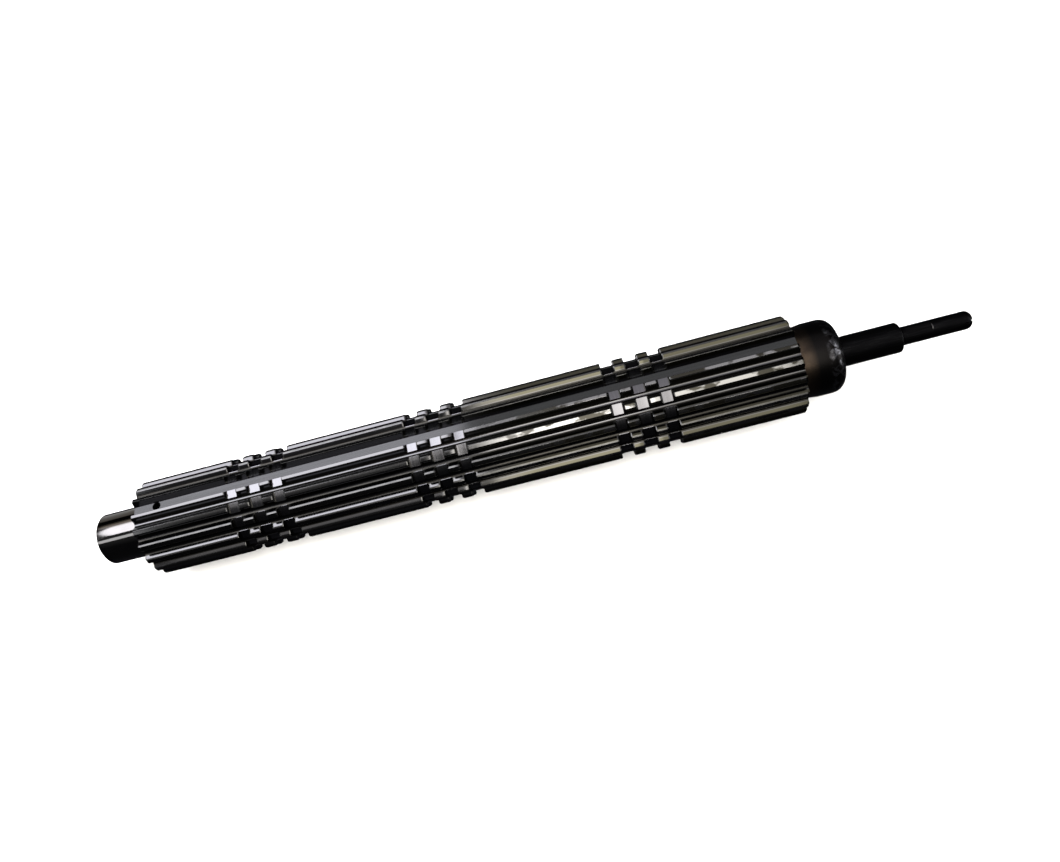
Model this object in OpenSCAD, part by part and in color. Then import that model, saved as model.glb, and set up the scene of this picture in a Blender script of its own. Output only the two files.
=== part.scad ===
// Main shaft of a heavy gearbox: one bar of steel, turned to steps and then hobbed with a long spline.
// The shaft axis is X. The origin is on the axis, at the face where the spline starts.
// The front pilot points to -X, the drive end to +X, and the keyway looks straight up, to +Z.
// All sizes are millimetres and degrees.

/* [Spline] */
// Teeth on the spline, all at one pitch
spline_teeth = 18; // [16:2:20]
// Diametral pitch, teeth for each inch of pitch diameter
spline_pitch = 6; // [5.6:0.1:6.4]
// Pressure angle at the pitch circle
pressure_angle = 30; // [28:0.5:31]
// Length of the spline from face to face
spline_length = 551; // [500:0.1:620]
// Chamfer turned on the tooth crests at the front face
front_chamfer = 0.8; // [0.4:0.1:2]
// Chamfer turned on the tooth crests at the rear face
rear_chamfer = 1.6; // [0.6:0.1:2.6]
// Width that the tip chamfer takes from each side of a crest
tip_chamfer = 0.5; // [0.2:0.05:0.9]
// Slope of the tip chamfer, from the crest down to the flank
tip_slope = 38; // [32:1:45]

/* [Washer grooves] */
// Middle of the first group, from the front face of the spline
group_1_middle = 106.5; // [80:0.5:130]
// Middle of the second group
group_2_middle = 260; // [240:0.5:300]
// Middle of the third group
group_3_middle = 425.5; // [400:0.5:440]
// Distance from groove to groove in a group
groove_pitch = 19.6; // [17:0.1:22]
// Width of the two outer grooves of a group
outer_groove_width = 10; // [7:0.1:12]
// Width of the middle groove of a group
middle_groove_width = 10.8; // [7:0.1:12]
// Height of the groove floor over the spline root
groove_floor_rise = 0.95; // [0.9:0.05:1.6]

/* [Keyway] */
// Width of the flat floor of the keyway that opens one tooth space
key_width = 6.35; // [5:0.05:7.5]
// Lean of each keyway wall, outward from the upright
key_wall_lean = 30; // [20:1:36]
// Depth of the keyway floor under the spline root
key_floor_drop = 0.75; // [0.3:0.05:1.5]
// Distance of the retaining pin hole from the front face of the spline
pin_hole_position = 19.7; // [12:0.1:40]
// Diameter of the retaining pin hole
pin_hole_diameter = 6.2; // [4:0.1:6.3]
// Depth of the pin hole under the keyway floor, to the drill's shoulder
pin_hole_depth = 16; // [10:0.5:24]
// Chamfer round the mouth of the pin hole
pin_hole_chamfer = 0.5; // [0.2:0.1:1]

/* [Front pilot] */
// Diameter of the ground pilot
pilot_diameter = 43.6; // [36:0.1:50]
// Length of the pilot
pilot_length = 44.3; // [30:0.1:60]
// Chamfer at the pilot's end
pilot_chamfer = 1.3; // [0.5:0.1:3]
// Fillet where the pilot meets the spline face
pilot_fillet = 1.5; // [0.5:0.1:3]
// Mouth of the 60 degree lathe centre in the pilot's end
centre_mouth = 12; // [8:0.5:16]
// Bore of the lathe centre
centre_bore = 5; // [3:0.5:6]
// Depth of the lathe centre's bore
centre_depth = 16; // [14:0.5:22]

/* [Rear journal] */
// Diameter of the journal
journal_diameter = 60.2; // [59:0.1:62]
// Length of the journal
journal_length = 34.7; // [30:0.1:45]
// Diameter of the relief next to the spline
relief_diameter = 58.7; // [56:0.1:59.5]
// Length of the relief, with its run-out
relief_length = 12; // [6:0.5:16]
// Radius of the journal's end corner
journal_corner = 10; // [3:0.5:14]

/* [Stub and drive end] */
// Diameter of the stub
stub_diameter = 24.5; // [20:0.1:30]
// Length of the stub
stub_length = 49.8; // [30:0.1:60]
// Radius of the stub's end corner
stub_corner = 2; // [0.5:0.1:2.5]
// Fillet where the stub leaves the journal
stub_fillet = 1.5; // [0.5:0.1:3]
// Diameter of the drive end
end_diameter = 15; // [12:0.1:18]
// Length of the drive end
end_length = 56.9; // [50:0.1:75]
// Radius of the rounded tip
tip_corner = 5.5; // [2:0.1:6.5]
// Start of the milled flat, from the stub's end
flat_start = 4; // [2:0.5:12]
// Length of the milled flat
flat_length = 20.5; // [15:0.5:28]
// Depth of the milled flat
flat_depth = 1; // [0.5:0.05:2]
// Turn of the flat from the keyway toward the front side
flat_turn = 14; // [0:1:90]
// Width of the slot across the tip
slot_width = 2.4; // [2:0.1:4]
// Depth of the slot
slot_depth = 7; // [5:0.5:12]
// Turn of the slot from the keyway toward the front side
slot_turn = 51; // [0:1:90]

/* [Hidden] */
$fn = 96;
tooth_module = 25.4 / spline_pitch;
tooth_step = 360 / spline_teeth;
pitch_radius = tooth_module * spline_teeth / 2;
crest_radius = tooth_module * (spline_teeth + 1) / 2;
root_radius = tooth_module * (spline_teeth - 1.35) / 2;
// A flank is the arc that touches the true involute at the pitch circle
base_radius = pitch_radius * cos(pressure_angle);
flank_radius = pitch_radius * sin(pressure_angle);
flank_turn = pressure_angle - tooth_step / 4;
// The root of a space is one round fillet that touches both flanks and is deepest at the root radius
space_turn = tooth_step / 2 + flank_turn;
base_drop = base_radius * cos(space_turn);
fillet_radius = (
  pow(root_radius, 2) + pow(base_radius, 2) - pow(flank_radius, 2) - 2 * root_radius * base_drop
) / (2 * (flank_radius + base_drop - root_radius));
fillet_orbit = root_radius + fillet_radius;
// The two tip chamfers of a tooth, drawn on, meet in a ridge over the crest
crest_swing = acos(
  (pow(crest_radius, 2) + pow(base_radius, 2) - pow(flank_radius, 2)) / (2 * crest_radius * base_radius)
);
half_crest = crest_radius * sin(crest_swing - flank_turn);
ridge = crest_radius + (half_crest - tip_chamfer) * tan(tip_slope);
groove_radius = root_radius + groove_floor_rise;
key_floor = root_radius - key_floor_drop;
journal_start = spline_length;
stub_start = journal_start + journal_length;
end_start = stub_start + stub_length;
tip = end_start + end_length;
// Cutters reach this far past what they cut
past = 1;

// Turned blank

// A turned step with its far corner rounded, drawn as radius and distance along the axis
module rounded_step(radius, from, to, corner) {
  translate([0, from])
    square([radius, to - from - corner]);
  translate([0, from])
    square([radius - corner, to - from]);
  translate([radius - corner, to - corner])
    intersection() {
      circle(r = corner);
      square(corner);
    }
}

// The fillet in the inner corner where a thinner step leaves a face; side is 1 toward the drive end
module inner_fillet(radius, face, fillet, side) {
  translate([0, face])
    mirror([0, side < 0 ? 1 : 0])
      difference() {
        translate([radius - past, -past])
          square(fillet + past);
        translate([radius + fillet, fillet])
          circle(r = fillet);
      }
}

module pilot_outline() {
  polygon([
    [0, -pilot_length],
    [pilot_diameter / 2 - pilot_chamfer, -pilot_length],
    [pilot_diameter / 2, -pilot_length + pilot_chamfer],
    [pilot_diameter / 2, past],
    [0, past],
  ]);
  inner_fillet(pilot_diameter / 2, 0, pilot_fillet, -1);
}

module spline_outline() {
  polygon([
    [0, 0],
    [crest_radius - front_chamfer, 0],
    [crest_radius, front_chamfer],
    [crest_radius, spline_length - rear_chamfer],
    [crest_radius - rear_chamfer, spline_length],
    [0, spline_length],
  ]);
}

module groove_outline(middle, width) {
  translate([groove_radius, middle - width / 2])
    square([crest_radius - groove_radius + past, width]);
}

module groove_group_outline(middle) {
  groove_outline(middle - groove_pitch, outer_groove_width);
  groove_outline(middle, middle_groove_width);
  groove_outline(middle + groove_pitch, outer_groove_width);
}

module relief_outline() {
  polygon([
    [relief_diameter / 2, journal_start],
    [relief_diameter / 2, journal_start + relief_length / 2],
    [journal_diameter / 2, journal_start + relief_length],
    [journal_diameter / 2 + past, journal_start + relief_length],
    [journal_diameter / 2 + past, journal_start],
  ]);
}

module blank_outline() {
  pilot_outline();
  difference() {
    spline_outline();
    groove_group_outline(group_1_middle);
    groove_group_outline(group_2_middle);
    groove_group_outline(group_3_middle);
  }
  difference() {
    rounded_step(journal_diameter / 2, journal_start - past, stub_start, journal_corner);
    relief_outline();
  }
  rounded_step(stub_diameter / 2, stub_start - past, end_start, stub_corner);
  inner_fillet(stub_diameter / 2, stub_start, stub_fillet, 1);
  rounded_step(end_diameter / 2, end_start - past, tip, tip_corner);
}

module turned_blank() {
  rotate([0, 90, 0])
    rotate_extrude()
      blank_outline();
}

// Cuts

// Two flank arcs and the roof of the tip chamfers make one tooth, seen along the axis with the tooth on the
// local X
module tooth_outline() {
  roof_foot = ridge / tan(tip_slope);
  intersection() {
    polygon([[ridge, 0], [0, roof_foot], [0, -roof_foot]]);
    rotate(-flank_turn)
      translate([base_radius, 0])
        circle(r = flank_radius);
    rotate(flank_turn)
      translate([base_radius, 0])
        circle(r = flank_radius);
  }
}

// Stock of one space up to the lines from the fillet's centre to the centres of the two flank arcs
module space_stock() {
  polygon([
    [0, 0],
    base_radius * [cos(space_turn), -sin(space_turn)],
    [fillet_orbit, 0],
    base_radius * [cos(space_turn), sin(space_turn)],
  ]);
}

// The teeth are placed so that one tooth space looks straight up
module spline_section() {
  difference() {
    for (i = [0:spline_teeth - 1]) {
      rotate(180 + (i + 0.5) * tooth_step)
        tooth_outline();
      rotate(180 + i * tooth_step)
        space_stock();
    }
    for (i = [0:spline_teeth - 1])
      rotate(180 + i * tooth_step)
        translate([fillet_orbit, 0])
          circle(r = fillet_radius);
  }
}

module tooth_spaces() {
  rotate([0, 90, 0])
    translate([0, 0, -past])
      linear_extrude(height = spline_length + 2 * past)
        difference() {
          circle(r = crest_radius + past);
          spline_section();
        }
}

// The walls lean out like the sides of the form cutter
module keyway() {
  top = crest_radius + past;
  half_floor = key_width / 2;
  half_top = half_floor + (top - key_floor) * tan(key_wall_lean);
  rotate([0, 90, 0])
    translate([0, 0, -past])
      linear_extrude(height = spline_length + 2 * past)
        polygon([[-key_floor, -half_floor], [-key_floor, half_floor], [-top, half_top], [-top, -half_top]]);
}

module pin_hole() {
  point = pin_hole_diameter / 2 * tan(31);
  translate([pin_hole_position, 0, key_floor - pin_hole_depth]) {
    cylinder(h = pin_hole_depth + past, d = pin_hole_diameter);
    translate([0, 0, pin_hole_depth - pin_hole_chamfer])
      cylinder(
        h = pin_hole_chamfer + past,
        d1 = pin_hole_diameter,
        d2 = pin_hole_diameter + 2 * (pin_hole_chamfer + past)
      );
    translate([0, 0, -point])
      cylinder(h = point, r1 = 0, d2 = pin_hole_diameter);
  }
}

module lathe_centre() {
  cone = centre_mouth / 2 / tan(30);
  translate([-pilot_length, 0, 0])
    rotate([0, 90, 0]) {
      cylinder(h = cone, d1 = centre_mouth, r2 = 0);
      cylinder(h = centre_depth, d = centre_bore);
    }
}

module milled_flat() {
  rotate([flat_turn, 0, 0])
    translate([end_start + flat_start, -end_diameter, end_diameter / 2 - flat_depth])
      cube([flat_length, 2 * end_diameter, end_diameter]);
}

module tip_slot() {
  rotate([slot_turn, 0, 0])
    translate([tip - slot_depth, -slot_width / 2, -end_diameter])
      cube([slot_depth + past, slot_width, 2 * end_diameter]);
}

// The sub-part

module main_shaft() {
  color("#4a4b4d")
    difference() {
      turned_blank();
      tooth_spaces();
      keyway();
      pin_hole();
      lathe_centre();
      milled_flat();
      tip_slot();
    }
}

main_shaft();
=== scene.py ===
# %% [markdown]
# # A gearbox main shaft
# The real shaft is one bar of alloy steel. It was turned on a lathe to steps, hobbed with a long spline,
# grooved for thrust washers, hardened, and ground where bushes run. The CAD model has its exact sizes.
# Here the shaft is drawn once more as a mesh with broken edges, because it is the thin bright line on
# each edge that makes machined steel look like steel.

# %% Load the CAD frame
import math

import bmesh
import bpy
from mathutils import Matrix, Vector


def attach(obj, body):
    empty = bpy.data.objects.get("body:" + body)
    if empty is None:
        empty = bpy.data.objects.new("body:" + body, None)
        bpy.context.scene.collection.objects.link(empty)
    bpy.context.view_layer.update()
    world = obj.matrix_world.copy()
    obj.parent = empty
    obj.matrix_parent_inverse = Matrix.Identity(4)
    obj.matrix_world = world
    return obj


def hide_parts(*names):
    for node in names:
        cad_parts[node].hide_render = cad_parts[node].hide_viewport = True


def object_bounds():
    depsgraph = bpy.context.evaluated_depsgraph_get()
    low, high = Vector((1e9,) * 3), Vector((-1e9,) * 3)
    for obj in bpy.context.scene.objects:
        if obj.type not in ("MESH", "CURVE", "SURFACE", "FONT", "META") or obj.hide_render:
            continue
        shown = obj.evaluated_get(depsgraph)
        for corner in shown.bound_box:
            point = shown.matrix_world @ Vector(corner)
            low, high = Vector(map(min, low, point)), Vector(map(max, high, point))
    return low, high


MM = 0.001
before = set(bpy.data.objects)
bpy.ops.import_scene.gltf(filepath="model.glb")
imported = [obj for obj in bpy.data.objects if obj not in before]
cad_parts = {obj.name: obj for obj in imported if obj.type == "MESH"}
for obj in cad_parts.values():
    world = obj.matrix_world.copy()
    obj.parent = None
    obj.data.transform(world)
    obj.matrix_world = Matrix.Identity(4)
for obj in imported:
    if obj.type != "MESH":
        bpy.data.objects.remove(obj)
cad_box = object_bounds()
print("CAD box in mm:", [[round(c / MM, 1) for c in corner] for corner in cad_box])

# %% [markdown]
# ## The spline in numbers
# An involute spline is set by its tooth count, its pitch and its pressure angle. A flank could be drawn
# point by point from the involute, but one arc that touches it at the pitch circle is within a few
# hundredths of a millimetre, and it is what the CAD model uses. All lengths are millimetres here.

# %% Spline sizes
INCH = 25.4
TEETH = 18
TEETH_PER_INCH = 6
PRESSURE_ANGLE = 30
ROOT_DEPTH = 1.35
tooth_step = 360 / TEETH
tooth_module = INCH / TEETH_PER_INCH
pitch_radius = tooth_module * TEETH / 2
crest_radius = tooth_module * (TEETH + 1) / 2
root_radius = tooth_module * (TEETH - ROOT_DEPTH) / 2
base_radius = pitch_radius * math.cos(math.radians(PRESSURE_ANGLE))
flank_radius = pitch_radius * math.sin(math.radians(PRESSURE_ANGLE))
flank_turn = PRESSURE_ANGLE - tooth_step / 4


def flank_angle(radius):
    """Angle in degrees from the middle of a tooth to its flank, at a distance from the axis."""
    top = radius**2 + base_radius**2 - flank_radius**2
    return math.degrees(math.acos(top / (2 * radius * base_radius))) - flank_turn


print("crest", round(crest_radius, 2), "and root", round(root_radius, 2), "mm from the axis")
print("half tooth at crest", round(flank_angle(crest_radius), 2), "degrees")

# %% [markdown]
# ## Outline of a tooth
# Seen from its end, the spline is a ring of teeth. The outline is made for half a tooth, from the middle
# of the crest over the tip chamfer, down the flank and round the fillet to the middle of the space. Each
# point is a distance from the axis and an angle, so that it can be mirrored and repeated.

# %% Tip chamfer
TIP_CHAMFER = 0.5
TIP_SLOPE = 38


def chamfer_foot():
    """Distance from the axis at which the tip chamfer runs out on the flank."""
    turn = math.radians(flank_angle(crest_radius)) - TIP_CHAMFER / crest_radius
    start = Vector((math.cos(turn), math.sin(turn))) * crest_radius
    slope = math.radians(TIP_SLOPE)
    fall = Vector((-math.sin(slope), math.cos(slope)))
    swung = math.radians(flank_turn)
    offset = start - Vector((math.cos(swung), -math.sin(swung))) * base_radius
    along = offset.dot(fall)
    length = math.sqrt(along**2 - offset.length_squared + flank_radius**2) - along
    return (start + fall * length).length


chamfer_radius = chamfer_foot()
print("tip chamfer runs out", round(crest_radius - chamfer_radius, 2), "mm under the crest")

# %% Round root
GROOVE_RISE = 0.95
FILLET_STEPS = 6
groove_radius = root_radius + GROOVE_RISE
base_drop = base_radius * math.cos(math.radians(tooth_step / 2 + flank_turn))
fillet_top = root_radius**2 + base_radius**2 - flank_radius**2 - 2 * root_radius * base_drop
root_fillet = fillet_top / (2 * (flank_radius + base_drop - root_radius))


def fillet_points():
    """Points of the round root from the flank to the middle of the space, with one at the groove floor."""
    orbit = root_radius + root_fillet
    reach = flank_radius + root_fillet
    top = math.acos((orbit**2 + reach**2 - base_radius**2) / (2 * orbit * reach))
    floor = math.acos((orbit**2 + root_fillet**2 - groove_radius**2) / (2 * orbit * root_fillet))
    points = []
    for bend in [top] + [floor * (1 - i / FILLET_STEPS) for i in range(FILLET_STEPS + 1)]:
        radius = math.sqrt(orbit**2 + root_fillet**2 - 2 * orbit * root_fillet * math.cos(bend))
        turn = math.degrees(math.asin(root_fillet * math.sin(bend) / radius))
        points.append((radius, tooth_step / 2 - turn))
    return points


root_points = fillet_points()
print("root fillet", round(root_fillet, 2), "mm, drawn with", len(root_points), "points")

# %% Half a tooth
CREST_PARTS = (0, 0.45, 0.9, 1)
FLANK_STEPS = 5


def tooth_side(side_angle, inset, top, bottom):
    """From the middle of a crest over its edge and down one side."""
    edge = side_angle(crest_radius) - math.degrees(inset / crest_radius)
    points = [(crest_radius, edge * part) for part in CREST_PARTS]
    for i in range(FLANK_STEPS + 1):
        radius = top + (bottom - top) * i / FLANK_STEPS
        points.append((radius, side_angle(radius)))
    return points


flank_points = tooth_side(flank_angle, TIP_CHAMFER, chamfer_radius, root_points[0][0])
half_tooth = flank_points[:-1] + root_points
print("points on half a tooth:", len(half_tooth))

# %% [markdown]
# ## The keyway
# The space at the top is the keyway. It holds a long key that locks the washers. A form cutter leaves a
# flat floor, walls that lean out and only a small break on the edges, so the half teeth beside it have
# their own outline. With them the ring of teeth is complete.

# %% Side of the keyway
KEY_WIDTH = 6.35
KEY_FLOOR_DROP = 0.75
KEY_WALL_LEAN = 30
KEY_BREAK = 0.15
key_half_width = KEY_WIDTH / 2
key_floor = root_radius - KEY_FLOOR_DROP


def key_angle(radius):
    """Angle in degrees from the middle of a tooth to the keyway's leaning wall."""
    lean = math.radians(KEY_WALL_LEAN)
    climb = Vector((math.sin(lean), math.cos(lean)))
    corner = Vector((key_half_width, key_floor))
    start = corner.dot(climb)
    rise = math.sqrt(start**2 + radius**2 - corner.length_squared) - start
    point = corner + climb * rise
    return tooth_step / 2 - math.degrees(math.atan2(point.x, point.y))


key_half = tooth_side(key_angle, KEY_BREAK, crest_radius - KEY_BREAK, groove_radius)
for across in (key_half_width, key_half_width / 3):
    turn = math.degrees(math.atan2(across, key_floor))
    key_half.append((math.hypot(across, key_floor), tooth_step / 2 - turn))
print("points beside the keyway:", len(key_half))

# %% Outline once round
outline = []
for i in range(TEETH):
    middle = (i + 0.5) * tooth_step
    before = key_half if i == 0 else half_tooth[:-1]
    after = key_half if i == TEETH - 1 else half_tooth
    outline += [(radius, middle - turn) for radius, turn in reversed(before)]
    outline += [(radius, middle + turn) for radius, turn in after[1:]]
print("outline points:", len(outline))

# %% [markdown]
# ## Rings along the axis
# The whole shaft is a stack of rings with the same number of points, skinned with quads. On the spline a
# ring is the tooth outline, cut down to a cap radius where the lathe took more away. On the plain steps
# it is a circle. A groove wall is two rings at one place, and a broken edge is one more ring between.

# %% Ring helpers
round_angles = sorted(turn for radius, turn in outline)
rings = []
zones = []


def polar(radius, degrees):
    """A point of the section: the angle starts at the top and turns toward the back."""
    turn = math.radians(degrees)
    return (radius * math.sin(turn), radius * math.cos(turn))


def add_ring(zone, x, points):
    """Adds one ring; the zone names the finish of the skin between it and the ring before."""
    rings.append([(x, y, z) for y, z in points])
    zones.append(zone)


def add_circle(zone, x, radius):
    """A plain ring, with its points at the angles of the outline."""
    add_ring(zone, x, [polar(radius, turn) for turn in round_angles])


def add_arc(zone, centre_x, centre_radius, radius, first, last, steps=8):
    """Rings along a quarter round: angle 0 points along the shaft and 90 away from the axis."""
    for i in range(steps + 1):
        a = math.radians(first + (last - first) * i / steps)
        add_circle(zone, centre_x + radius * math.cos(a), centre_radius + radius * math.sin(a))


def add_teeth(zone, x, cap=crest_radius):
    """A ring of teeth, with nothing farther from the axis than the cap."""
    add_ring(zone, x, [polar(min(radius, cap), turn) for radius, turn in outline])


print("points in each ring:", len(round_angles))

# %% [markdown]
# ## The front pilot
# The pilot runs in a bush in the input shaft, so it is ground bright. Its end has the lathe centre, the
# small cone that held the bar for turning. Drawing the cone as more rings saves a boolean cut.

# %% Pilot rings
PILOT_RADIUS = 21.8
PILOT_LENGTH = 44.3
PILOT_CHAMFER = 1.3
PILOT_FILLET = 1.5
CENTRE_MOUTH_RADIUS = 6
CENTRE_BORE_RADIUS = 2.5
CENTRE_DEPTH = 16
CENTRE_SLOPE = 30
pilot_end = -PILOT_LENGTH
cone_length = (CENTRE_MOUTH_RADIUS - CENTRE_BORE_RADIUS) / math.tan(math.radians(CENTRE_SLOPE))
add_circle("pilot", pilot_end + CENTRE_DEPTH, CENTRE_BORE_RADIUS)
add_circle("pilot", pilot_end + cone_length, CENTRE_BORE_RADIUS)
add_circle("pilot", pilot_end, CENTRE_MOUTH_RADIUS)
add_circle("pilot", pilot_end, PILOT_RADIUS - PILOT_CHAMFER)
add_circle("pilot", pilot_end + PILOT_CHAMFER, PILOT_RADIUS)
add_arc("pilot", -PILOT_FILLET, PILOT_RADIUS + PILOT_FILLET, PILOT_FILLET, 270, 360)
print("rings so far:", len(rings))

# %% [markdown]
# ## The spline and its washer grooves
# Three groups of three grooves hold the thrust washers of the gears. The middle groove of each group is
# a little wider. The grooving tool's nose leaves a small radius at the foot of each wall, and the ends of
# the tooth blocks are worn round. The crests are chamfered at both ends of the spline, so that a clutch
# finds its way on.

# %% Worn ends of the tooth blocks
END_BREAK = 1
END_DROP = 0.47
WEAR_RISE = 0.8


def worn_end():
    """The outline moved in by the wear, which grows from nothing at the groove floor."""
    flat = [Vector(polar(radius, turn)) for radius, turn in outline]
    moved = []
    for i, point in enumerate(flat):
        along = flat[(i + 1) % len(flat)] - flat[i - 1]
        inward = Vector((along.y, -along.x)).normalized()
        if inward.dot(point) > 0:
            inward = -inward
        height = (point.length - groove_radius) / WEAR_RISE
        share = min(1, max(0, height))
        moved.append(tuple(point + inward * END_DROP * share))
    return moved


worn_points = worn_end()
print("worn ends are", END_BREAK, "mm long and", END_DROP, "mm deep")

# %% Groove helper
NOSE_RADIUS = 1.2
NOSE_STEPS = 3
nose_points = []
for i in range(NOSE_STEPS + 1):
    turn = math.pi / 2 * i / NOSE_STEPS
    across = NOSE_RADIUS * (1 - math.cos(turn))
    nose_points.append((across, groove_radius + NOSE_RADIUS * (1 - math.sin(turn))))


def add_groove(start, end):
    """A washer groove: walls with worn top edges and the tool's nose radius at their feet."""
    add_teeth("spline", start - END_BREAK)
    add_ring("edge", start, worn_points)
    for i, (across, cap) in enumerate(nose_points):
        add_teeth("corner" if i else "spline", start + across, cap)
    for i, (across, cap) in enumerate(reversed(nose_points)):
        add_teeth("corner" if i else "groove", end - across, cap)
    add_ring("spline", end, worn_points)
    add_teeth("edge", end + END_BREAK)


print("groove floor", round(groove_radius, 2), "mm from the axis")

# %% Spline rings
SPLINE_LENGTH = 551
FRONT_CHAMFER = 0.8
REAR_CHAMFER = 1.6
GROUP_MIDDLES = (106.5, 260, 425.5)
GROOVE_PITCH = 19.6
OUTER_GROOVE = 10
MIDDLE_GROOVE = 10.8
add_teeth("spline", 0, crest_radius - FRONT_CHAMFER)
add_teeth("edge", FRONT_CHAMFER)
for group in GROUP_MIDDLES:
    for step, width in ((-1, OUTER_GROOVE), (0, MIDDLE_GROOVE), (1, OUTER_GROOVE)):
        middle = group + step * GROOVE_PITCH
        add_groove(middle - width / 2, middle + width / 2)
add_teeth("spline", SPLINE_LENGTH - REAR_CHAMFER)
add_teeth("spline", SPLINE_LENGTH, crest_radius - REAR_CHAMFER)
print("rings so far:", len(rings))

# %% [markdown]
# ## Journal, stub and drive end
# Behind the spline the bar steps down three times. The journal has a shallow relief where the tool ran
# out and a large round corner. The stub and the thin drive end keep their black oxide.

# %% Rear rings
JOURNAL_RADIUS = 30.1
JOURNAL_LENGTH = 34.7
RELIEF_RADIUS = 29.35
RELIEF_LENGTH = 12
JOURNAL_CORNER = 10
CORNER_STEPS = 16
STUB_RADIUS = 12.25
STUB_LENGTH = 49.8
STUB_CORNER = 2
STUB_FILLET = 1.5
END_RADIUS = 7.5
END_LENGTH = 56.9
TIP_CORNER = 5.5
stub_start = SPLINE_LENGTH + JOURNAL_LENGTH
end_start = stub_start + STUB_LENGTH
tip = end_start + END_LENGTH
add_circle("spline", SPLINE_LENGTH, RELIEF_RADIUS)
add_circle("journal", SPLINE_LENGTH + RELIEF_LENGTH / 2, RELIEF_RADIUS)
add_circle("journal", SPLINE_LENGTH + RELIEF_LENGTH, JOURNAL_RADIUS)
corner_x = stub_start - JOURNAL_CORNER
add_arc("journal", corner_x, JOURNAL_RADIUS - JOURNAL_CORNER, JOURNAL_CORNER, 90, 0, CORNER_STEPS)
add_arc("journal", stub_start + STUB_FILLET, STUB_RADIUS + STUB_FILLET, STUB_FILLET, 180, 270)
add_arc("stub", end_start - STUB_CORNER, STUB_RADIUS - STUB_CORNER, STUB_CORNER, 90, 0)
add_circle("stub", end_start, END_RADIUS)
add_arc("stub", tip - TIP_CORNER, END_RADIUS - TIP_CORNER, TIP_CORNER, 90, 0)
print("rings:", len(rings), "tip at", round(tip, 1))

# %% [markdown]
# ## Skin
# bmesh joins ring to ring. Points that fall together, as at the foot of a groove wall, are merged, and
# faces that have shrunk to a line go with them. Each face remembers its finish: the zone between its two
# rings, or the rubbed crest, the worn edge or the inner corner of a tooth with its painted shade, told by
# the distance from the axis. The finishes stand in the order in which their materials are made further
# down.

# %% Finish of a face
FINISHES = ["pilot", "spline", "corner", "groove", "journal", "stub", "crest", "edge"]
TOOTHED = ("spline", "groove", "edge", "corner")
SAME = 0.01
corner_to = root_points[0][0]
corner_from = root_points[-3][0]


def finish_of(corners, zone):
    """The finish of one face, from its corners' distances from the axis."""
    reach = [math.hypot(v.co.y, v.co.z) / MM for v in corners]
    if zone == "groove" and max(reach) > groove_radius - SAME:
        return "groove"
    if zone in TOOTHED and min(reach) > corner_from - SAME and max(reach) < corner_to + SAME:
        return "corner"
    if zone in TOOTHED and max(reach) < groove_radius - SAME:
        return "spline"
    if zone == "spline" and min(reach) > crest_radius - SAME:
        return "crest"
    if zone == "spline" and min(reach) > chamfer_radius - SAME and max(reach) > crest_radius - SAME:
        return "edge"
    return zone


print("inner corners reach from", round(corner_from, 2), "to", round(corner_to, 2), "mm from the axis")

# %% Skin the rings
MERGE_DISTANCE = 0.004
skin = bmesh.new()
rows = [[skin.verts.new(Vector(p) * MM) for p in ring] for ring in rings]
count = len(outline)
for row, following, zone in zip(rows, rows[1:], zones[1:]):
    for i in range(count):
        j = (i + 1) % count
        corners = [row[i], row[j], following[j], following[i]]
        face = skin.faces.new(corners)
        face.material_index = FINISHES.index(finish_of(corners, zone))
first_cap = skin.faces.new(rows[0])
first_cap.material_index = FINISHES.index("pilot")
last_cap = skin.faces.new(list(reversed(rows[-1])))
last_cap.material_index = FINISHES.index("stub")
bmesh.ops.remove_doubles(skin, verts=skin.verts, dist=MERGE_DISTANCE * MM)
bmesh.ops.recalc_face_normals(skin, faces=skin.faces)
shaft_mesh = bpy.data.meshes.new("main_shaft_skin")
skin.to_mesh(shaft_mesh)
skin.free()
shaft = bpy.data.objects.new("shaft_body", shaft_mesh)
bpy.context.scene.collection.objects.link(shaft)
print("skin faces:", len(shaft_mesh.polygons))

# %% [markdown]
# ## Colours and nodes
# Every colour is written as the hex value a screen shows, and one function turns it to the linear light
# that Blender counts in. One more function adds a node, sets it and links it. A pattern's scale comes from
# the size of its marks along X, Y and Z in millimetres: long in one direction makes streaks.


# %% Colour and node helpers
def linear(code):
    """An sRGB hex colour as linear red, green, blue and alpha."""
    parts = [int(code[i : i + 2], 16) / 255 for i in (1, 3, 5)]
    light = [c / 12.92 if c <= 0.04045 else ((c + 0.055) / 1.055) ** 2.4 for c in parts]
    return (*light, 1)


def add_node(tree, kind, settings=None, inputs=None, links=None):
    """Adds a node, sets its properties and sockets, and links sockets to other nodes' outputs."""
    made = tree.nodes.new(kind)
    for name, value in (settings or {}).items():
        setattr(made, name, value)
    for name, value in (inputs or {}).items():
        made.inputs[name].default_value = value
    for name, (other, output) in (links or {}).items():
        tree.links.new(other.outputs[output], made.inputs[name])
    return made


def marks(x, y, z):
    """The mapping scale that gives a pattern marks of these sizes in millimetres."""
    return (1 / (x * MM), 1 / (y * MM), 1 / (z * MM))


def start_metal(name):
    """A new bare metal: its node tree, its shader and the object's own coordinates in metres."""
    material = bpy.data.materials.new(name)
    material.use_nodes = True
    tree = material.node_tree
    shader = tree.nodes["Principled BSDF"]
    shader.inputs["Metallic"].default_value = 1
    place = add_node(tree, "ShaderNodeTexCoord")
    shaft_mesh.materials.append(material)
    return tree, shader, place


# The colour sockets of a mix node go by number, because its other sockets have the same names.
COLOUR_MIX = {"data_type": "RGBA"}
MIX_A = 6
MIX_B = 7
MIX_OUT = 2
# Most of a noise pattern lies between these two values.
NOISE_LOW = 0.3
NOISE_HIGH = 0.7
print("helpers ready")
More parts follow.
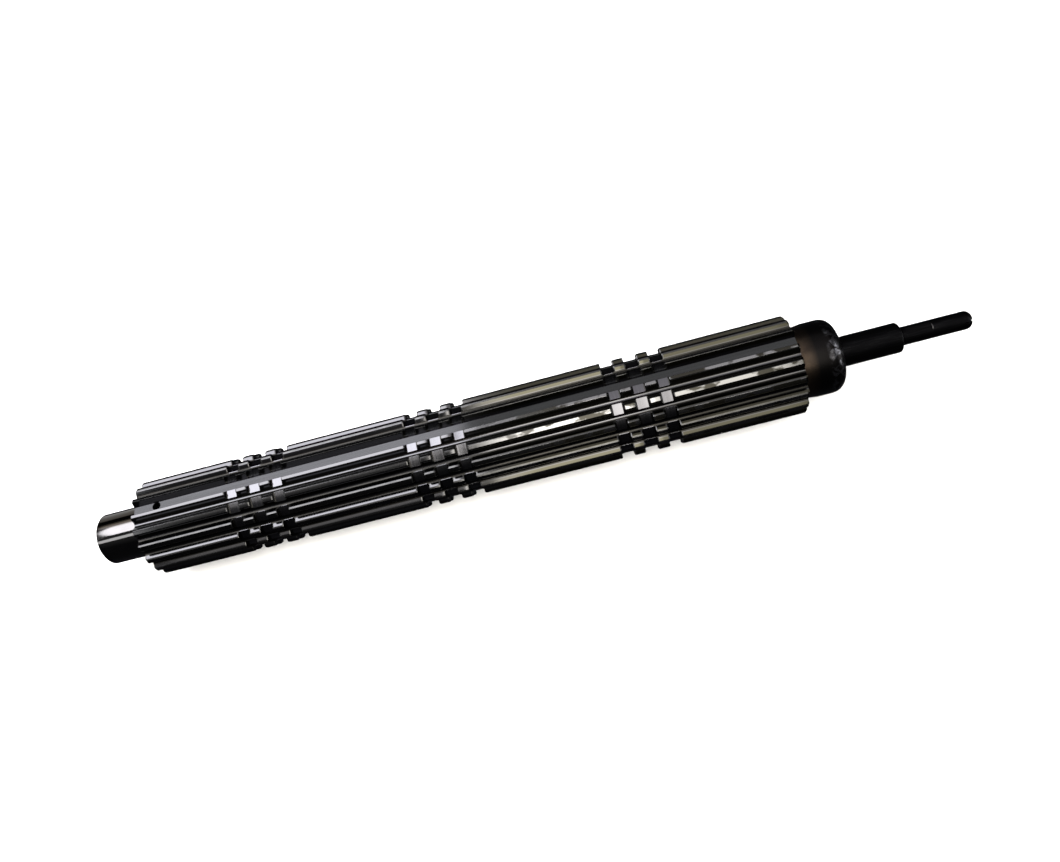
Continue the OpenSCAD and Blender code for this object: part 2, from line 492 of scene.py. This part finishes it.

# %% [markdown]
# ## Ground steel: the pilot
# A grinding wheel leaves fine rings round the pilot, far too fine to see one by one. They are drawn about
# ten times too coarse, so that they just show as a silky band in the light. The pilot's far half is painted
# a darker brown, as painted shade.

# %% Ground bearing steel
tree, shader, place = start_metal("ground_bearing_steel")
ring_scale = add_node(
    tree, "ShaderNodeMapping", inputs={"Scale": marks(0.6, 40, 40)}, links={"Vector": (place, "Object")}
)
wheel_rings = add_node(
    tree, "ShaderNodeTexNoise", inputs={"Scale": 1, "Detail": 3}, links={"Vector": (ring_scale, "Vector")}
)
smear_scale = add_node(
    tree, "ShaderNodeMapping", inputs={"Scale": marks(16, 9, 9)}, links={"Vector": (place, "Object")}
)
smears = add_node(
    tree, "ShaderNodeTexNoise", inputs={"Scale": 1, "Detail": 4}, links={"Vector": (smear_scale, "Vector")}
)
print("grinding rings and smears ready")

# %% Painted brown shade on the far half, and silk
SHADE_FROM_Y = -2.4
SHADE_TO_Y = 0.4
across_pilot = add_node(tree, "ShaderNodeSeparateXYZ", links={"Vector": (place, "Object")})
# Painted shade: the far half of the pilot is darkened to brown.
shaded_far_half = add_node(
    tree,
    "ShaderNodeMapRange",
    inputs={"From Min": SHADE_FROM_Y * MM, "From Max": SHADE_TO_Y * MM},
    links={"Value": (across_pilot, "Y")},
)
bright_steel = add_node(
    tree,
    "ShaderNodeMix",
    COLOUR_MIX,
    {MIX_A: linear("#494848"), MIX_B: linear("#555454")},
    {"Factor": (smears, "Fac")},
)
shade_tinted = add_node(
    tree,
    "ShaderNodeMix",
    COLOUR_MIX,
    {MIX_B: linear("#2f2a24")},
    {"Factor": (shaded_far_half, "Result"), MIX_A: (bright_steel, MIX_OUT)},
)
silk = add_node(
    tree,
    "ShaderNodeMapRange",
    inputs={"From Min": NOISE_LOW, "From Max": NOISE_HIGH, "To Min": 0.05, "To Max": 0.09},
    links={"Value": (wheel_rings, "Fac")},
)
ring_height = add_node(
    tree,
    "ShaderNodeBump",
    inputs={"Strength": 0.08, "Distance": 0.02 * MM},
    links={"Height": (wheel_rings, "Fac")},
)
tree.links.new(shade_tinted.outputs[MIX_OUT], shader.inputs["Base Color"])
tree.links.new(silk.outputs["Result"], shader.inputs["Roughness"])
tree.links.new(ring_height.outputs["Normal"], shader.inputs["Normal"])
print("pilot finish ready")

# %% [markdown]
# ## Hobbed and hardened steel: the tooth flanks
# The hob leaves long streaks down the teeth, drawn here coarser than they are so that they show, and
# hardening turns the steel dark. A thin oil film keeps it glossy, so that the narrow root between two teeth
# mirrors a light as one crisp line. Toward the rear the film on the flanks is thicker and olive.

# %% Hobbed hardened steel
tree, shader, place = start_metal("hobbed_hardened_steel")
streak_scale = add_node(
    tree, "ShaderNodeMapping", inputs={"Scale": marks(90, 0.9, 0.9)}, links={"Vector": (place, "Object")}
)
streaks = add_node(
    tree, "ShaderNodeTexNoise", inputs={"Scale": 1, "Detail": 4}, links={"Vector": (streak_scale, "Vector")}
)
film_scale = add_node(
    tree, "ShaderNodeMapping", inputs={"Scale": marks(45, 8, 8)}, links={"Vector": (place, "Object")}
)
oil_film = add_node(
    tree, "ShaderNodeTexNoise", inputs={"Scale": 1, "Detail": 5}, links={"Vector": (film_scale, "Vector")}
)
steel_grey = add_node(
    tree,
    "ShaderNodeMix",
    COLOUR_MIX,
    {MIX_A: linear("#363637"), MIX_B: linear("#444446")},
    {"Factor": (streaks, "Fac")},
)
print("hob streaks and oil film ready")

# %% Olive film on the rear flanks
FILM_FROM_X = 260
FILM_TO_X = 330
FILM_FROM_RADIUS = 36.7
FILM_TO_RADIUS = 37.6
along_flank = add_node(tree, "ShaderNodeSeparateXYZ", links={"Vector": (place, "Object")})
rear_flank = add_node(
    tree,
    "ShaderNodeMapRange",
    inputs={"From Min": FILM_FROM_X * MM, "From Max": FILM_TO_X * MM},
    links={"Value": (along_flank, "X")},
)
off_axis = add_node(
    tree,
    "ShaderNodeVectorMath",
    {"operation": "MULTIPLY"},
    {1: (0, 1, 1)},
    {0: (place, "Object")},
)
axis_reach = add_node(
    tree, "ShaderNodeVectorMath", {"operation": "LENGTH"}, links={0: (off_axis, "Vector")}
)
high_flank = add_node(
    tree,
    "ShaderNodeMapRange",
    inputs={"From Min": FILM_FROM_RADIUS * MM, "From Max": FILM_TO_RADIUS * MM},
    links={"Value": (axis_reach, "Value")},
)
on_flank = add_node(
    tree,
    "ShaderNodeMath",
    {"operation": "MULTIPLY"},
    links={0: (rear_flank, "Result"), 1: (high_flank, "Result")},
)
filmed = add_node(
    tree,
    "ShaderNodeMix",
    COLOUR_MIX,
    {MIX_B: linear("#2f2e27")},
    {"Factor": (on_flank, "Value"), MIX_A: (steel_grey, MIX_OUT)},
)
print("olive film from", FILM_FROM_X, "mm on")

# %% Gloss of the flanks
gloss = add_node(
    tree,
    "ShaderNodeMapRange",
    inputs={"From Min": NOISE_LOW, "From Max": NOISE_HIGH, "To Min": 0.09, "To Max": 0.16},
    links={"Value": (oil_film, "Fac")},
)
streak_height = add_node(
    tree,
    "ShaderNodeBump",
    inputs={"Strength": 0.08, "Distance": 0.02 * MM},
    links={"Height": (streaks, "Fac")},
)
tree.links.new(filmed.outputs[MIX_OUT], shader.inputs["Base Color"])
tree.links.new(gloss.outputs["Result"], shader.inputs["Roughness"])
tree.links.new(streak_height.outputs["Normal"], shader.inputs["Normal"])
print("flank finish ready")

# %% [markdown]
# ## Painted shade: the inner corners
# The steel is painted darker where a root turns up into a flank and at the feet of the groove walls, as
# painted shade. It leaves the middle of each root as a narrow bright strip between two dull dark ones.

# %% Inner corners with painted shade
tree, shader, place = start_metal("corner_steel_painted_shade")
corner_shade_scale = add_node(
    tree, "ShaderNodeMapping", inputs={"Scale": marks(30, 3, 3)}, links={"Vector": (place, "Object")}
)
corner_shade_blotches = add_node(
    tree, "ShaderNodeTexNoise", inputs={"Scale": 1, "Detail": 4}, links={"Vector": (corner_shade_scale, "Vector")}
)
# Painted shade: blotched dark grey for the inner corners of the teeth and the feet of the groove walls.
corner_shade_colour = add_node(
    tree,
    "ShaderNodeMix",
    COLOUR_MIX,
    {MIX_A: linear("#141413"), MIX_B: linear("#252422")},
    {"Factor": (corner_shade_blotches, "Fac")},
)
corner_rough = add_node(
    tree,
    "ShaderNodeMapRange",
    inputs={"From Min": NOISE_LOW, "From Max": NOISE_HIGH, "To Min": 0.3, "To Max": 0.2},
    links={"Value": (corner_shade_blotches, "Fac")},
)
tree.links.new(corner_shade_colour.outputs[MIX_OUT], shader.inputs["Base Color"])
tree.links.new(corner_rough.outputs["Result"], shader.inputs["Roughness"])
print("inner corner finish ready")

# %% [markdown]
# ## Turned steel: the washer grooves
# A grooving tool cuts rings round the shaft. Its feed marks are a quarter of a millimetre apart and are
# drawn at three quarters. The floors were never rubbed by a clutch, so they are even and a little lighter.

# %% Turned groove steel
tree, shader, place = start_metal("turned_groove_steel")
feed_scale = add_node(
    tree, "ShaderNodeMapping", inputs={"Scale": marks(0.75, 30, 30)}, links={"Vector": (place, "Object")}
)
feed_rings = add_node(
    tree, "ShaderNodeTexNoise", inputs={"Scale": 1, "Detail": 2}, links={"Vector": (feed_scale, "Vector")}
)
groove_grey = add_node(
    tree,
    "ShaderNodeMix",
    COLOUR_MIX,
    {MIX_A: linear("#464648"), MIX_B: linear("#505053")},
    {"Factor": (feed_rings, "Fac")},
)
groove_gloss = add_node(
    tree,
    "ShaderNodeMapRange",
    inputs={"From Min": NOISE_LOW, "From Max": NOISE_HIGH, "To Min": 0.14, "To Max": 0.2},
    links={"Value": (feed_rings, "Fac")},
)
feed_height = add_node(
    tree,
    "ShaderNodeBump",
    inputs={"Strength": 0.05, "Distance": 0.02 * MM},
    links={"Height": (feed_rings, "Fac")},
)
tree.links.new(groove_grey.outputs[MIX_OUT], shader.inputs["Base Color"])
tree.links.new(groove_gloss.outputs["Result"], shader.inputs["Roughness"])
tree.links.new(feed_height.outputs["Normal"], shader.inputs["Normal"])
print("groove finish ready")

# %% [markdown]
# ## Dull steel: the rear journal
# The journal was turned and heat treated but not polished. It is dull and black with a soft broad sheen,
# and next to the spline a lighter brown sheen is painted on. On its round corner something has rubbed it:
# pale, patchy marks in a ring.

# %% Dull journal steel
tree, shader, place = start_metal("dull_journal_steel")
# Blotches for the painted brown sheen next to the spline.
sheen_blotch_scale = add_node(
    tree, "ShaderNodeMapping", inputs={"Scale": marks(14, 14, 14)}, links={"Vector": (place, "Object")}
)
sheen_blotches = add_node(
    tree, "ShaderNodeTexNoise", inputs={"Scale": 1, "Detail": 5}, links={"Vector": (sheen_blotch_scale, "Vector")}
)
print("heat bloom ready")

# %% Rub marks on the round corner
RUB_START = 4
RUB_FULL = 1
rub_scale = add_node(
    tree, "ShaderNodeMapping", inputs={"Scale": marks(6, 6, 6)}, links={"Vector": (place, "Object")}
)
rub_marks = add_node(
    tree,
    "ShaderNodeTexNoise",
    inputs={"Scale": 1, "Detail": 4, "Distortion": 0.6},
    links={"Vector": (rub_scale, "Vector")},
)
along_journal = add_node(tree, "ShaderNodeSeparateXYZ", links={"Vector": (place, "Object")})
on_corner = add_node(
    tree,
    "ShaderNodeMapRange",
    inputs={"From Min": (corner_x - RUB_START) * MM, "From Max": (corner_x - RUB_FULL) * MM},
    links={"Value": (along_journal, "X")},
)
in_patches = add_node(
    tree,
    "ShaderNodeMapRange",
    inputs={"From Min": 0.48, "From Max": 0.66},
    links={"Value": (rub_marks, "Fac")},
)
rubbed = add_node(
    tree,
    "ShaderNodeMath",
    {"operation": "MULTIPLY"},
    links={0: (on_corner, "Result"), 1: (in_patches, "Result")},
)
print("rub marks start", RUB_START, "mm before the corner")

# %% Painted brown sheen next to the spline
SHEEN_LENGTH = 13
sheen_end = SPLINE_LENGTH + SHEEN_LENGTH
sheen_near_teeth = add_node(
    tree,
    "ShaderNodeMapRange",
    inputs={"From Min": SPLINE_LENGTH * MM, "From Max": sheen_end * MM, "To Min": 1, "To Max": 0},
    links={"Value": (along_journal, "X")},
)
painted_sheen = add_node(
    tree,
    "ShaderNodeMath",
    {"operation": "MULTIPLY"},
    links={0: (sheen_near_teeth, "Result"), 1: (sheen_blotches, "Fac")},
)
# Painted highlight: the journal is painted lighter brown next to the spline, where its sheen lies.
sheen_brown = add_node(
    tree,
    "ShaderNodeMix",
    COLOUR_MIX,
    {MIX_A: linear("#121111"), MIX_B: linear("#4d4136")},
    {"Factor": (painted_sheen, "Value")},
)
journal_colour = add_node(
    tree,
    "ShaderNodeMix",
    COLOUR_MIX,
    {MIX_B: linear("#515155")},
    {"Factor": (rubbed, "Value"), MIX_A: (sheen_brown, MIX_OUT)},
)
journal_rough = add_node(
    tree,
    "ShaderNodeMapRange",
    inputs={"To Min": 0.35, "To Max": 0.24},
    links={"Value": (rubbed, "Value")},
)
tree.links.new(journal_colour.outputs[MIX_OUT], shader.inputs["Base Color"])
tree.links.new(journal_rough.outputs["Result"], shader.inputs["Roughness"])
print("journal finish ready")

# %% [markdown]
# ## Black oxide: the stub and the drive end
# A hot salt bath turns steel black, a skin a thousandth of a millimetre thick. It hides almost all shine.
# Handling leaves faint lengthwise scuffs, just under a millimetre wide.

# %% Black oxide steel
tree, shader, place = start_metal("black_oxide_steel")
scuff_scale = add_node(
    tree, "ShaderNodeMapping", inputs={"Scale": marks(18, 0.8, 0.8)}, links={"Vector": (place, "Object")}
)
scuffs = add_node(
    tree, "ShaderNodeTexNoise", inputs={"Scale": 1, "Detail": 4}, links={"Vector": (scuff_scale, "Vector")}
)
scuffed = add_node(
    tree,
    "ShaderNodeMapRange",
    inputs={"From Min": 0.5, "From Max": 0.72},
    links={"Value": (scuffs, "Fac")},
)
black_skin = add_node(
    tree,
    "ShaderNodeMix",
    COLOUR_MIX,
    {MIX_A: linear("#080809"), MIX_B: linear("#151516")},
    {"Factor": (scuffed, "Result")},
)
skin_rough = add_node(
    tree,
    "ShaderNodeMapRange",
    inputs={"To Min": 0.48, "To Max": 0.34},
    links={"Value": (scuffed, "Result")},
)
tree.links.new(black_skin.outputs[MIX_OUT], shader.inputs["Base Color"])
tree.links.new(skin_rough.outputs["Result"], shader.inputs["Roughness"])
print("black finish ready")

# %% [markdown]
# ## Rubbed steel: the tooth crests
# Clutches have slid along the crests and rubbed them evenly on the front half. Toward the rear they are
# polished in stretches of ten to thirty millimetres, and between those an olive oil film has dried. The
# lines of the sliding are drawn coarser than they are.

# %% Rubbed crest steel
tree, shader, place = start_metal("rubbed_crest_steel")
patch_scale = add_node(
    tree, "ShaderNodeMapping", inputs={"Scale": marks(17, 9, 9)}, links={"Vector": (place, "Object")}
)
patches = add_node(
    tree, "ShaderNodeTexNoise", inputs={"Scale": 1, "Detail": 3}, links={"Vector": (patch_scale, "Vector")}
)
in_stretches = add_node(
    tree,
    "ShaderNodeMapRange",
    inputs={"From Min": 0.46, "From Max": 0.53},
    links={"Value": (patches, "Fac")},
)
print("polished stretches ready")

# %% Even rubbing on the front half
EVEN_TO_X = 280
PATCHY_FROM_X = 360
along_crest = add_node(tree, "ShaderNodeSeparateXYZ", links={"Vector": (place, "Object")})
front_half = add_node(
    tree,
    "ShaderNodeMapRange",
    inputs={"From Min": EVEN_TO_X * MM, "From Max": PATCHY_FROM_X * MM, "To Min": 1, "To Max": 0},
    links={"Value": (along_crest, "X")},
)
polished = add_node(
    tree,
    "ShaderNodeMath",
    {"operation": "MAXIMUM"},
    links={0: (in_stretches, "Result"), 1: (front_half, "Result")},
)
slide_scale = add_node(
    tree, "ShaderNodeMapping", inputs={"Scale": marks(60, 0.8, 0.8)}, links={"Vector": (place, "Object")}
)
slide_lines = add_node(
    tree, "ShaderNodeTexNoise", inputs={"Scale": 1, "Detail": 4}, links={"Vector": (slide_scale, "Vector")}
)
crest_colour = add_node(
    tree,
    "ShaderNodeMix",
    COLOUR_MIX,
    {MIX_A: linear("#292824"), MIX_B: linear("#676767")},
    {"Factor": (in_stretches, "Result")},
)
even_colour = add_node(
    tree,
    "ShaderNodeMix",
    COLOUR_MIX,
    {MIX_B: linear("#404041")},
    {"Factor": (front_half, "Result"), MIX_A: (crest_colour, MIX_OUT)},
)
crest_rough = add_node(
    tree,
    "ShaderNodeMapRange",
    inputs={"To Min": 0.28, "To Max": 0.15},
    links={"Value": (polished, "Value")},
)
slide_height = add_node(
    tree,
    "ShaderNodeBump",
    inputs={"Strength": 0.08, "Distance": 0.02 * MM},
    links={"Height": (slide_lines, "Fac")},
)
tree.links.new(even_colour.outputs[MIX_OUT], shader.inputs["Base Color"])
tree.links.new(crest_rough.outputs["Result"], shader.inputs["Roughness"])
tree.links.new(slide_height.outputs["Normal"], shader.inputs["Normal"])
print("crest finish ready")

# %% [markdown]
# ## Worn steel: the tooth edges
# Every edge has been knocked and rubbed bright, but not evenly, so that it catches the light as a thin
# broken line. The saw leaves the sides of the tip's slot as bright.

# %% Worn edge steel
tree, shader, place = start_metal("worn_edge_steel")
knock_scale = add_node(
    tree, "ShaderNodeMapping", inputs={"Scale": marks(7, 3, 3)}, links={"Vector": (place, "Object")}
)
knocks = add_node(
    tree, "ShaderNodeTexNoise", inputs={"Scale": 1, "Detail": 4}, links={"Vector": (knock_scale, "Vector")}
)
edge_colour = add_node(
    tree,
    "ShaderNodeMix",
    COLOUR_MIX,
    {MIX_A: linear("#272728"), MIX_B: linear("#434342")},
    {"Factor": (knocks, "Fac")},
)
edge_rough = add_node(
    tree,
    "ShaderNodeMapRange",
    inputs={"From Min": NOISE_LOW, "From Max": NOISE_HIGH, "To Min": 0.3, "To Max": 0.23},
    links={"Value": (knocks, "Fac")},
)
tree.links.new(edge_colour.outputs[MIX_OUT], shader.inputs["Base Color"])
tree.links.new(edge_rough.outputs["Result"], shader.inputs["Roughness"])
print("materials:", [m.name for m in shaft_mesh.materials])

# %% [markdown]
# ## Milled cuts
# The pin hole, the flat and the tip's slot are cut with booleans, as a mill cuts them into the finished
# bar. Each cutter gives its cut faces the black oxide finish, which on the drive end matches its oxide and
# inside the pin hole is painted shade, and its worn faces bright steel.

# %% Cutter helper
cutters = []


def add_cutter(name, cut, worn=()):
    """Turns a cutter's bmesh into an object: a cut in black oxide, painted shade where it lies in the pin
    hole, with bright steel on its worn faces.
    """
    bmesh.ops.recalc_face_normals(cut, faces=cut.faces)
    for face in cut.faces:
        face.material_index = FINISHES.index("edge" if face in worn else "stub")
    mesh = bpy.data.meshes.new(name)
    cut.to_mesh(mesh)
    cut.free()
    for material in shaft_mesh.materials:
        mesh.materials.append(material)
    made = bpy.data.objects.new(name, mesh)
    bpy.context.scene.collection.objects.link(made)
    cutters.append(made)
    print(name, "has", len(mesh.polygons), "faces")


# %% Pin drill
# It stands with its point down, and its cone at the top cuts a countersink in the keyway's floor.
PIN_HOLE_X = 19.7
PIN_HOLE_RADIUS = 3.1
PIN_HOLE_DEPTH = 16
PIN_HOLE_CHAMFER = 0.5
DRILL_POINT = 31
HOLE_SIDES = 48
PAST = 1
hole_bottom = key_floor - PIN_HOLE_DEPTH
point_height = hole_bottom - PIN_HOLE_RADIUS * math.tan(math.radians(DRILL_POINT))
drill_steps = [
    (hole_bottom, PIN_HOLE_RADIUS),
    (key_floor - PIN_HOLE_CHAMFER, PIN_HOLE_RADIUS),
    (key_floor + PAST, PIN_HOLE_RADIUS + PIN_HOLE_CHAMFER + PAST),
]
turns = [math.tau * i / HOLE_SIDES for i in range(HOLE_SIDES)]
drill = bmesh.new()
loops = []
for height, radius in drill_steps:
    loop = [Vector((PIN_HOLE_X + radius * math.cos(a), radius * math.sin(a), height)) for a in turns]
    loops.append([drill.verts.new(p * MM) for p in loop])
deepest = drill.verts.new(Vector((PIN_HOLE_X, 0, point_height)) * MM)
for i in range(HOLE_SIDES):
    j = (i + 1) % HOLE_SIDES
    drill.faces.new([loops[0][j], loops[0][i], deepest])
    for lower, upper in zip(loops, loops[1:]):
        drill.faces.new([lower[i], lower[j], upper[j], upper[i]])
drill.faces.new(loops[-1])
# The hole's walls take the black oxide finish: painted shade inside the hole.
add_cutter("pin_drill", drill)


# %% Flat mill
def add_profile(name, profile, half_width, turn):
    """A side view in millimetres, made solid and turned about the axis. Its slopes and sides are worn."""
    cut = bmesh.new()
    sides = []
    for y in (-half_width, half_width):
        sides.append([cut.verts.new((x * MM, y * MM, z * MM)) for x, z in profile])
    worn = [cut.faces.new(sides[0]), cut.faces.new(reversed(sides[1]))]
    for i, (x, z) in enumerate(profile):
        j = (i + 1) % len(profile)
        face = cut.faces.new([sides[0][i], sides[1][i], sides[1][j], sides[0][j]])
        if x != profile[j][0] and z != profile[j][1]:
            worn.append(face)
    cut.transform(Matrix.Rotation(math.radians(turn), 4, "X"))
    add_cutter(name, cut, worn)


FLAT_START = 4
FLAT_LENGTH = 20.5
FLAT_DEPTH = 1
FLAT_TURN = 14
WORN_DEPTH = 0.45
WORN_LENGTH = 0.75
wide = 2 * END_RADIUS
flat_from = end_start + FLAT_START
flat_to = flat_from + FLAT_LENGTH
flat_height = END_RADIUS - FLAT_DEPTH
worn_height = END_RADIUS - WORN_DEPTH
flat_profile = [
    (flat_from, wide),
    (flat_from, flat_height),
    (flat_to, flat_height),
    (flat_to, worn_height),
    (flat_to + WORN_LENGTH * (wide - worn_height) / WORN_DEPTH, wide),
]
add_profile("flat_mill", flat_profile, wide, FLAT_TURN)

# %% Slot saw
SLOT_WIDTH = 2.4
SLOT_DEPTH = 7
SLOT_TURN = 51
slot_end = tip - SLOT_DEPTH
slot_profile = [(slot_end, -wide), (tip + PAST, -wide), (tip + PAST, wide), (slot_end, wide)]
add_profile("slot_saw", slot_profile, SLOT_WIDTH / 2, SLOT_TURN)

# %% Cut the hole, the flat and the slot
for cutter in cutters:
    cut = shaft.modifiers.new(cutter.name, "BOOLEAN")
    cut.operation = "DIFFERENCE"
    cut.solver = "EXACT"
    cut.object = cutter
bpy.context.view_layer.update()
shown = shaft.evaluated_get(bpy.context.evaluated_depsgraph_get())
cut_mesh = bpy.data.meshes.new_from_object(shown)
shaft.modifiers.clear()
shaft.data = cut_mesh
for cutter in cutters:
    bpy.data.objects.remove(cutter)
print("faces after the cuts:", len(cut_mesh.polygons))

# %% [markdown]
# ## Shading
# The faces are shaded smooth, with hard edges only where steel really turns a corner. Edges that run along
# a tooth are crisp, as the hob leaves them, and those across it are worn, so that they roll the light over.
# The rim of the pin hole is marked hard separately, because its countersink turns too gently to be found.

# %% Smooth shading
HARD_EDGE = math.radians(50)
TOOTH_EDGE = math.radians(15)
LENGTHWISE = 0.99
hole_middle = Vector((PIN_HOLE_X, 0, key_floor)) * MM
rim_reach = (PIN_HOLE_RADIUS + PIN_HOLE_CHAMFER + 2 * PAST) * MM
shape = bmesh.new()
shape.from_mesh(cut_mesh)
for face in shape.faces:
    face.smooth = True
for edge in shape.edges:
    run = edge.verts[1].co - edge.verts[0].co
    lengthwise = abs(run.x) > LENGTHWISE * run.length
    on_rim = all((v.co - hole_middle).length < rim_reach for v in edge.verts)
    edge.smooth = edge.calc_face_angle(0) < (TOOTH_EDGE if lengthwise else HARD_EDGE) and not on_rim
hard_edges = sum(not edge.smooth for edge in shape.edges)
shape.to_mesh(cut_mesh)
shape.free()
print("hard edges:", hard_edges)

# %% Even out the light and name what the mesh stands for
weighted = shaft.modifiers.new("even_light", "WEIGHTED_NORMAL")
weighted.keep_sharp = True
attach(shaft, "root")
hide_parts("main_shaft")
print("shaft rides on the root body")

# %% [markdown]
# ## Floor
# The shaft lies on a plain pale floor, on two tooth crests beside the space under the keyway. Polished
# steel mirrors all that is round it, and a white floor would wash the dark flanks out, so the floor is
# hidden from mirror rays, as a photographer would lay black cards beside the work.

# %% Floor
FLOOR_HALF = 4000
floor_height = cad_box[0].z
half = FLOOR_HALF * MM
corners = [(-half, -half), (half, -half), (half, half), (-half, half)]
floor_mesh = bpy.data.meshes.new("floor")
floor_mesh.from_pydata([(x, y, floor_height) for x, y in corners], [], [(0, 1, 2, 3)])
floor = bpy.data.objects.new("floor", floor_mesh)
bpy.context.scene.collection.objects.link(floor)
floor_paint = bpy.data.materials.new("matt_floor_paint")
floor_paint.use_nodes = True
paint = floor_paint.node_tree.nodes["Principled BSDF"]
paint.inputs["Base Color"].default_value = linear("#e6e6e5")
paint.inputs["Roughness"].default_value = 0.9
floor_mesh.materials.append(floor_paint)
floor.visible_glossy = False
print("floor at", round(floor_height / MM, 2), "mm")

# %% [markdown]
# ## Camera
# The photograph looks down on the shaft with the keyway just over the middle. The lens is a fairly wide
# one: the nearer, right end is drawn larger. The camera is turned so that the shaft climbs to the right.

# %% Camera
PICTURE_WIDTH = 1060
FOCAL_PIXELS = 834
SENSOR = 36
LOOK_DOWN = 60
NEARER_END = 5.1
CLIMB = 14.4
AIM_X = 332
AIM_RISE = 0.6
AIM_DISTANCE = 690
CLIP_END = 20000
along = Vector((1, 0, 0))
down = math.radians(LOOK_DOWN)
toward = Vector((0, -math.cos(down), math.sin(down)))
upward = Vector((0, math.sin(down), math.cos(down)))
near = math.radians(NEARER_END)
level_right = along * math.cos(near) - toward * math.sin(near)
back = along * math.sin(near) + toward * math.cos(near)
climb = math.radians(CLIMB)
right = level_right * math.cos(climb) - upward * math.sin(climb)
up = level_right * math.sin(climb) + upward * math.cos(climb)
lens = bpy.data.cameras.new("photo_camera")
lens.sensor_fit = "HORIZONTAL"
lens.sensor_width = SENSOR
lens.lens = SENSOR * FOCAL_PIXELS / PICTURE_WIDTH
lens.clip_end = CLIP_END * MM
camera = bpy.data.objects.new("photo_camera", lens)
bpy.context.scene.collection.objects.link(camera)
turned = Matrix((right, up, back)).transposed().to_4x4()
eye = (Vector((AIM_X, 0, 0)) + up * AIM_RISE + back * AIM_DISTANCE) * MM
camera.matrix_world = Matrix.Translation(eye) @ turned
bpy.context.scene.camera = camera
print("camera at", [round(c, 3) for c in eye], "lens", round(lens.lens, 2))

# %% [markdown]
# ## Light
# A dark, shiny thing is lit by what it mirrors, so the soft boxes stand where the real highlights point.
# Each box spans a stretch along X and a range of angles round the shaft, counted upward from the camera's
# direction: a facet that is turned by half an angle mirrors the box there. A large cool box overhead on the
# left lights the facets that face up, with dim ones below it and to its right. Two boxes beside the camera
# light the facets that face the viewer, two high up fill the keyway, and two small ones on the left draw a
# second line on the pilot and light its top. A box past each end lights the worn ends of the tooth blocks,
# and shows the teeth when the shaft is looked at from an end.


# %% Soft boxes
def soft_box(name, reach, angles, distance, brightness, colour, aim=None):
    """A rectangular light over a stretch in millimetres and a range of degrees, facing the shaft."""
    middle_x = sum(reach) / 2
    middle_angle = math.radians(sum(angles) / 2)
    half_angle = math.radians(angles[1] - angles[0]) / 2
    away = toward * math.cos(middle_angle) + upward * math.sin(middle_angle)
    middle = Vector((middle_x, 0, 0)) + away * distance
    light = bpy.data.lights.new(name, "AREA")
    light.shape = "RECTANGLE"
    light.size = (reach[1] - reach[0]) * MM
    light.size_y = 2 * distance * math.tan(half_angle) * MM
    light.energy = brightness * math.pi * light.size * light.size_y
    light.color = linear(colour)[:3]
    made = bpy.data.objects.new(name, light)
    bpy.context.scene.collection.objects.link(made)
    look = Vector((middle_x if aim is None else aim, 0, 0)) - middle
    facing = look.to_track_quat("-Z", "Y").to_matrix().to_4x4()
    made.matrix_world = Matrix.Translation(middle * MM) @ facing
    print(name, "at", [round(c) for c in middle], "power", round(light.energy, 2))


soft_box("overhead_box", (-680, 140), (17, 56), 900, 12.5, "#fcfbff")
soft_box("low_box", (-480, 150), (2, 17), 900, 1.4, "#fffaf4")
soft_box("high_box", (-680, 140), (56, 66), 900, 3.6, "#fafaff")
soft_box("long_high_box", (-680, 900), (58, 72), 920, 1.1, "#f2f4f2")
soft_box("front_box", (150, 470), (-20, 20), 1000, 12, "#fffaf2")
soft_box("rear_front_box", (470, 790), (-20, 20), 1000, 5.5, "#fffaf0")
soft_box("rear_high_box", (140, 900), (17, 56), 900, 1.8, "#f8f4f8")
soft_box("pilot_box", (-800, -600), (-8, 3), 1000, 5, "#ffffff")
soft_box("pilot_top_box", (-800, -540), (95, 140), 900, 1.1, "#ffffff")
soft_box("side_box", (1200, 1700), (-40, 40), 480, 8, "#ffffff", 600)
soft_box("far_box", (-1700, -900), (-30, 90), 500, 2, "#ffffff", 300)

# %% [markdown]
# ## Room
# The room fills the shadows on the floor with even light. What the steel mirrors of it is dark, like the
# hall that a shaft is photographed in, and a little lighter behind the viewer. The kind of ray tells the
# two apart.

# %% Room light
GLOW_ANGLE = math.radians(15)
GLOW_EDGE = 0.53
GLOW_CORE = 0.98
room = bpy.data.worlds.new("studio")
room.use_nodes = True
tree = room.node_tree
background = tree.nodes["Background"]
glow_middle = toward * math.cos(GLOW_ANGLE) + upward * math.sin(GLOW_ANGLE)
direction = add_node(tree, "ShaderNodeTexCoord")
behind_viewer = add_node(
    tree,
    "ShaderNodeVectorMath",
    {"operation": "DOT_PRODUCT"},
    {1: glow_middle},
    {0: (direction, "Generated")},
)
glow = add_node(
    tree,
    "ShaderNodeMapRange",
    inputs={"From Min": GLOW_EDGE, "From Max": GLOW_CORE},
    links={"Value": (behind_viewer, "Value")},
)
mirrored = add_node(
    tree,
    "ShaderNodeMix",
    COLOUR_MIX,
    {MIX_A: linear("#2a2a2d"), MIX_B: linear("#808080")},
    {"Factor": (glow, "Result")},
)
ray = add_node(tree, "ShaderNodeLightPath")
seen = add_node(
    tree,
    "ShaderNodeMix",
    COLOUR_MIX,
    {MIX_A: linear("#ffffff")},
    {"Factor": (ray, "Is Glossy Ray"), MIX_B: (mirrored, MIX_OUT)},
)
tree.links.new(seen.outputs[MIX_OUT], background.inputs["Color"])
background.inputs["Strength"].default_value = 1
bpy.context.scene.world = room
bpy.context.scene.view_settings.view_transform = "Standard"
print("room ready")
